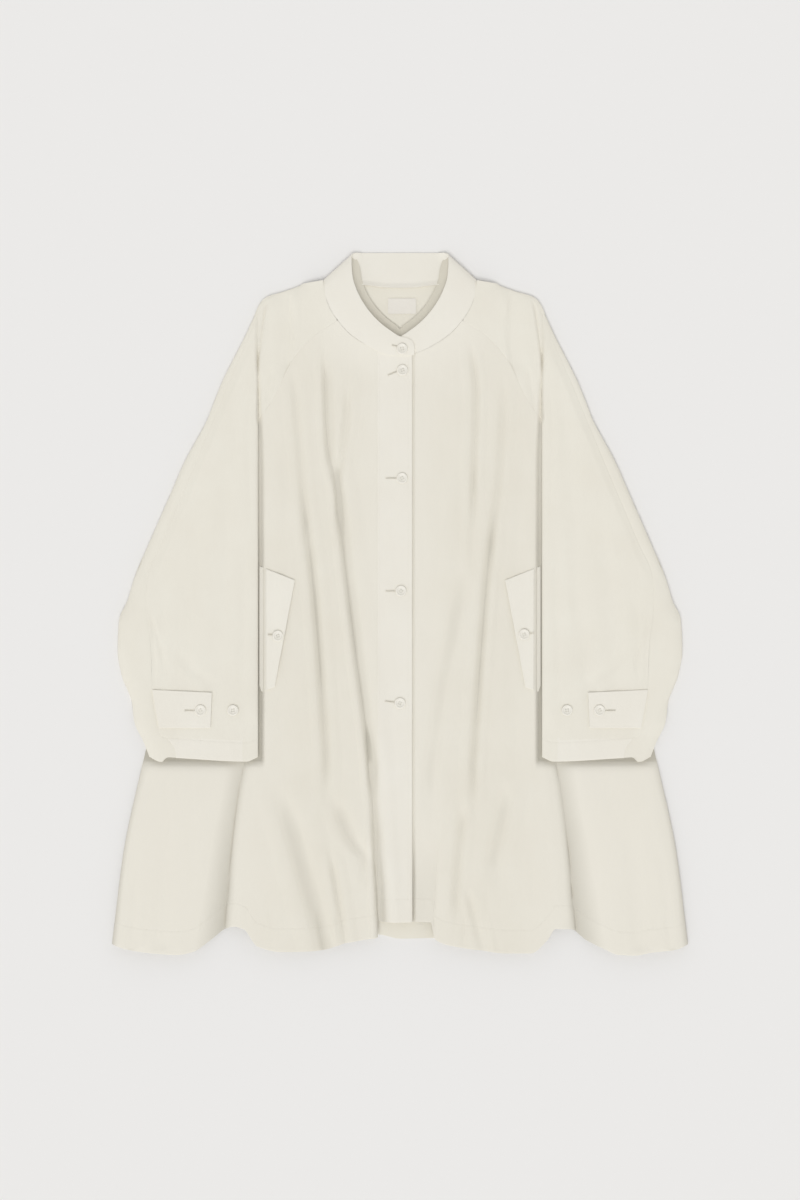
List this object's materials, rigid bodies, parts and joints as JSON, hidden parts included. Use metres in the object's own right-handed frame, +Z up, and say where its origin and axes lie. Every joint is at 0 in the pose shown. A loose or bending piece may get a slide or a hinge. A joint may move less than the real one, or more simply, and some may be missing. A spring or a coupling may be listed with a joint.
{
  "type": "swing coat",
  "caption": "Mid-length swing coat laid out flat, with raglan sleeves, stand collar, button placket, slanted pocket flaps and cuff tabs.",
  "frame": {"origin": "middle of the bounding box, on the surface that the coat lies on", "axes": "+X to the wearer's left, +Y from hem to collar, +Z up from the surface, out of the coat's front"},
  "size_m": [0.8222, 1.0021, 0.0181],
  "materials": {
    "shell_cloth": "smooth matte cotton and nylon poplin, ivory",
    "button_resin": "satin resin, ivory",
    "label_tape": "plain woven tape, off-white"
  },
  "bodies": {
    "root": {"back": "shell_cloth", "right_front": "shell_cloth", "left_front": "shell_cloth", "placket": "shell_cloth", "right_sleeve_front": "shell_cloth", "right_sleeve_back": "shell_cloth", "left_sleeve_front": "shell_cloth", "left_sleeve_back": "shell_cloth", "collar": "shell_cloth", "right_pocket_flap": "shell_cloth", "left_pocket_flap": "shell_cloth", "right_cuff_tab": "shell_cloth", "left_cuff_tab": "shell_cloth", "front_button_1": "button_resin", "front_button_2": "button_resin", "front_button_3": "button_resin", "front_button_4": "button_resin", "front_button_5": "button_resin", "right_pocket_button": "button_resin", "left_pocket_button": "button_resin", "right_tab_button": "button_resin", "left_tab_button": "button_resin", "right_spare_button": "button_resin", "left_spare_button": "button_resin", "neck_label": "label_tape"}
  },
  "joints": []
}
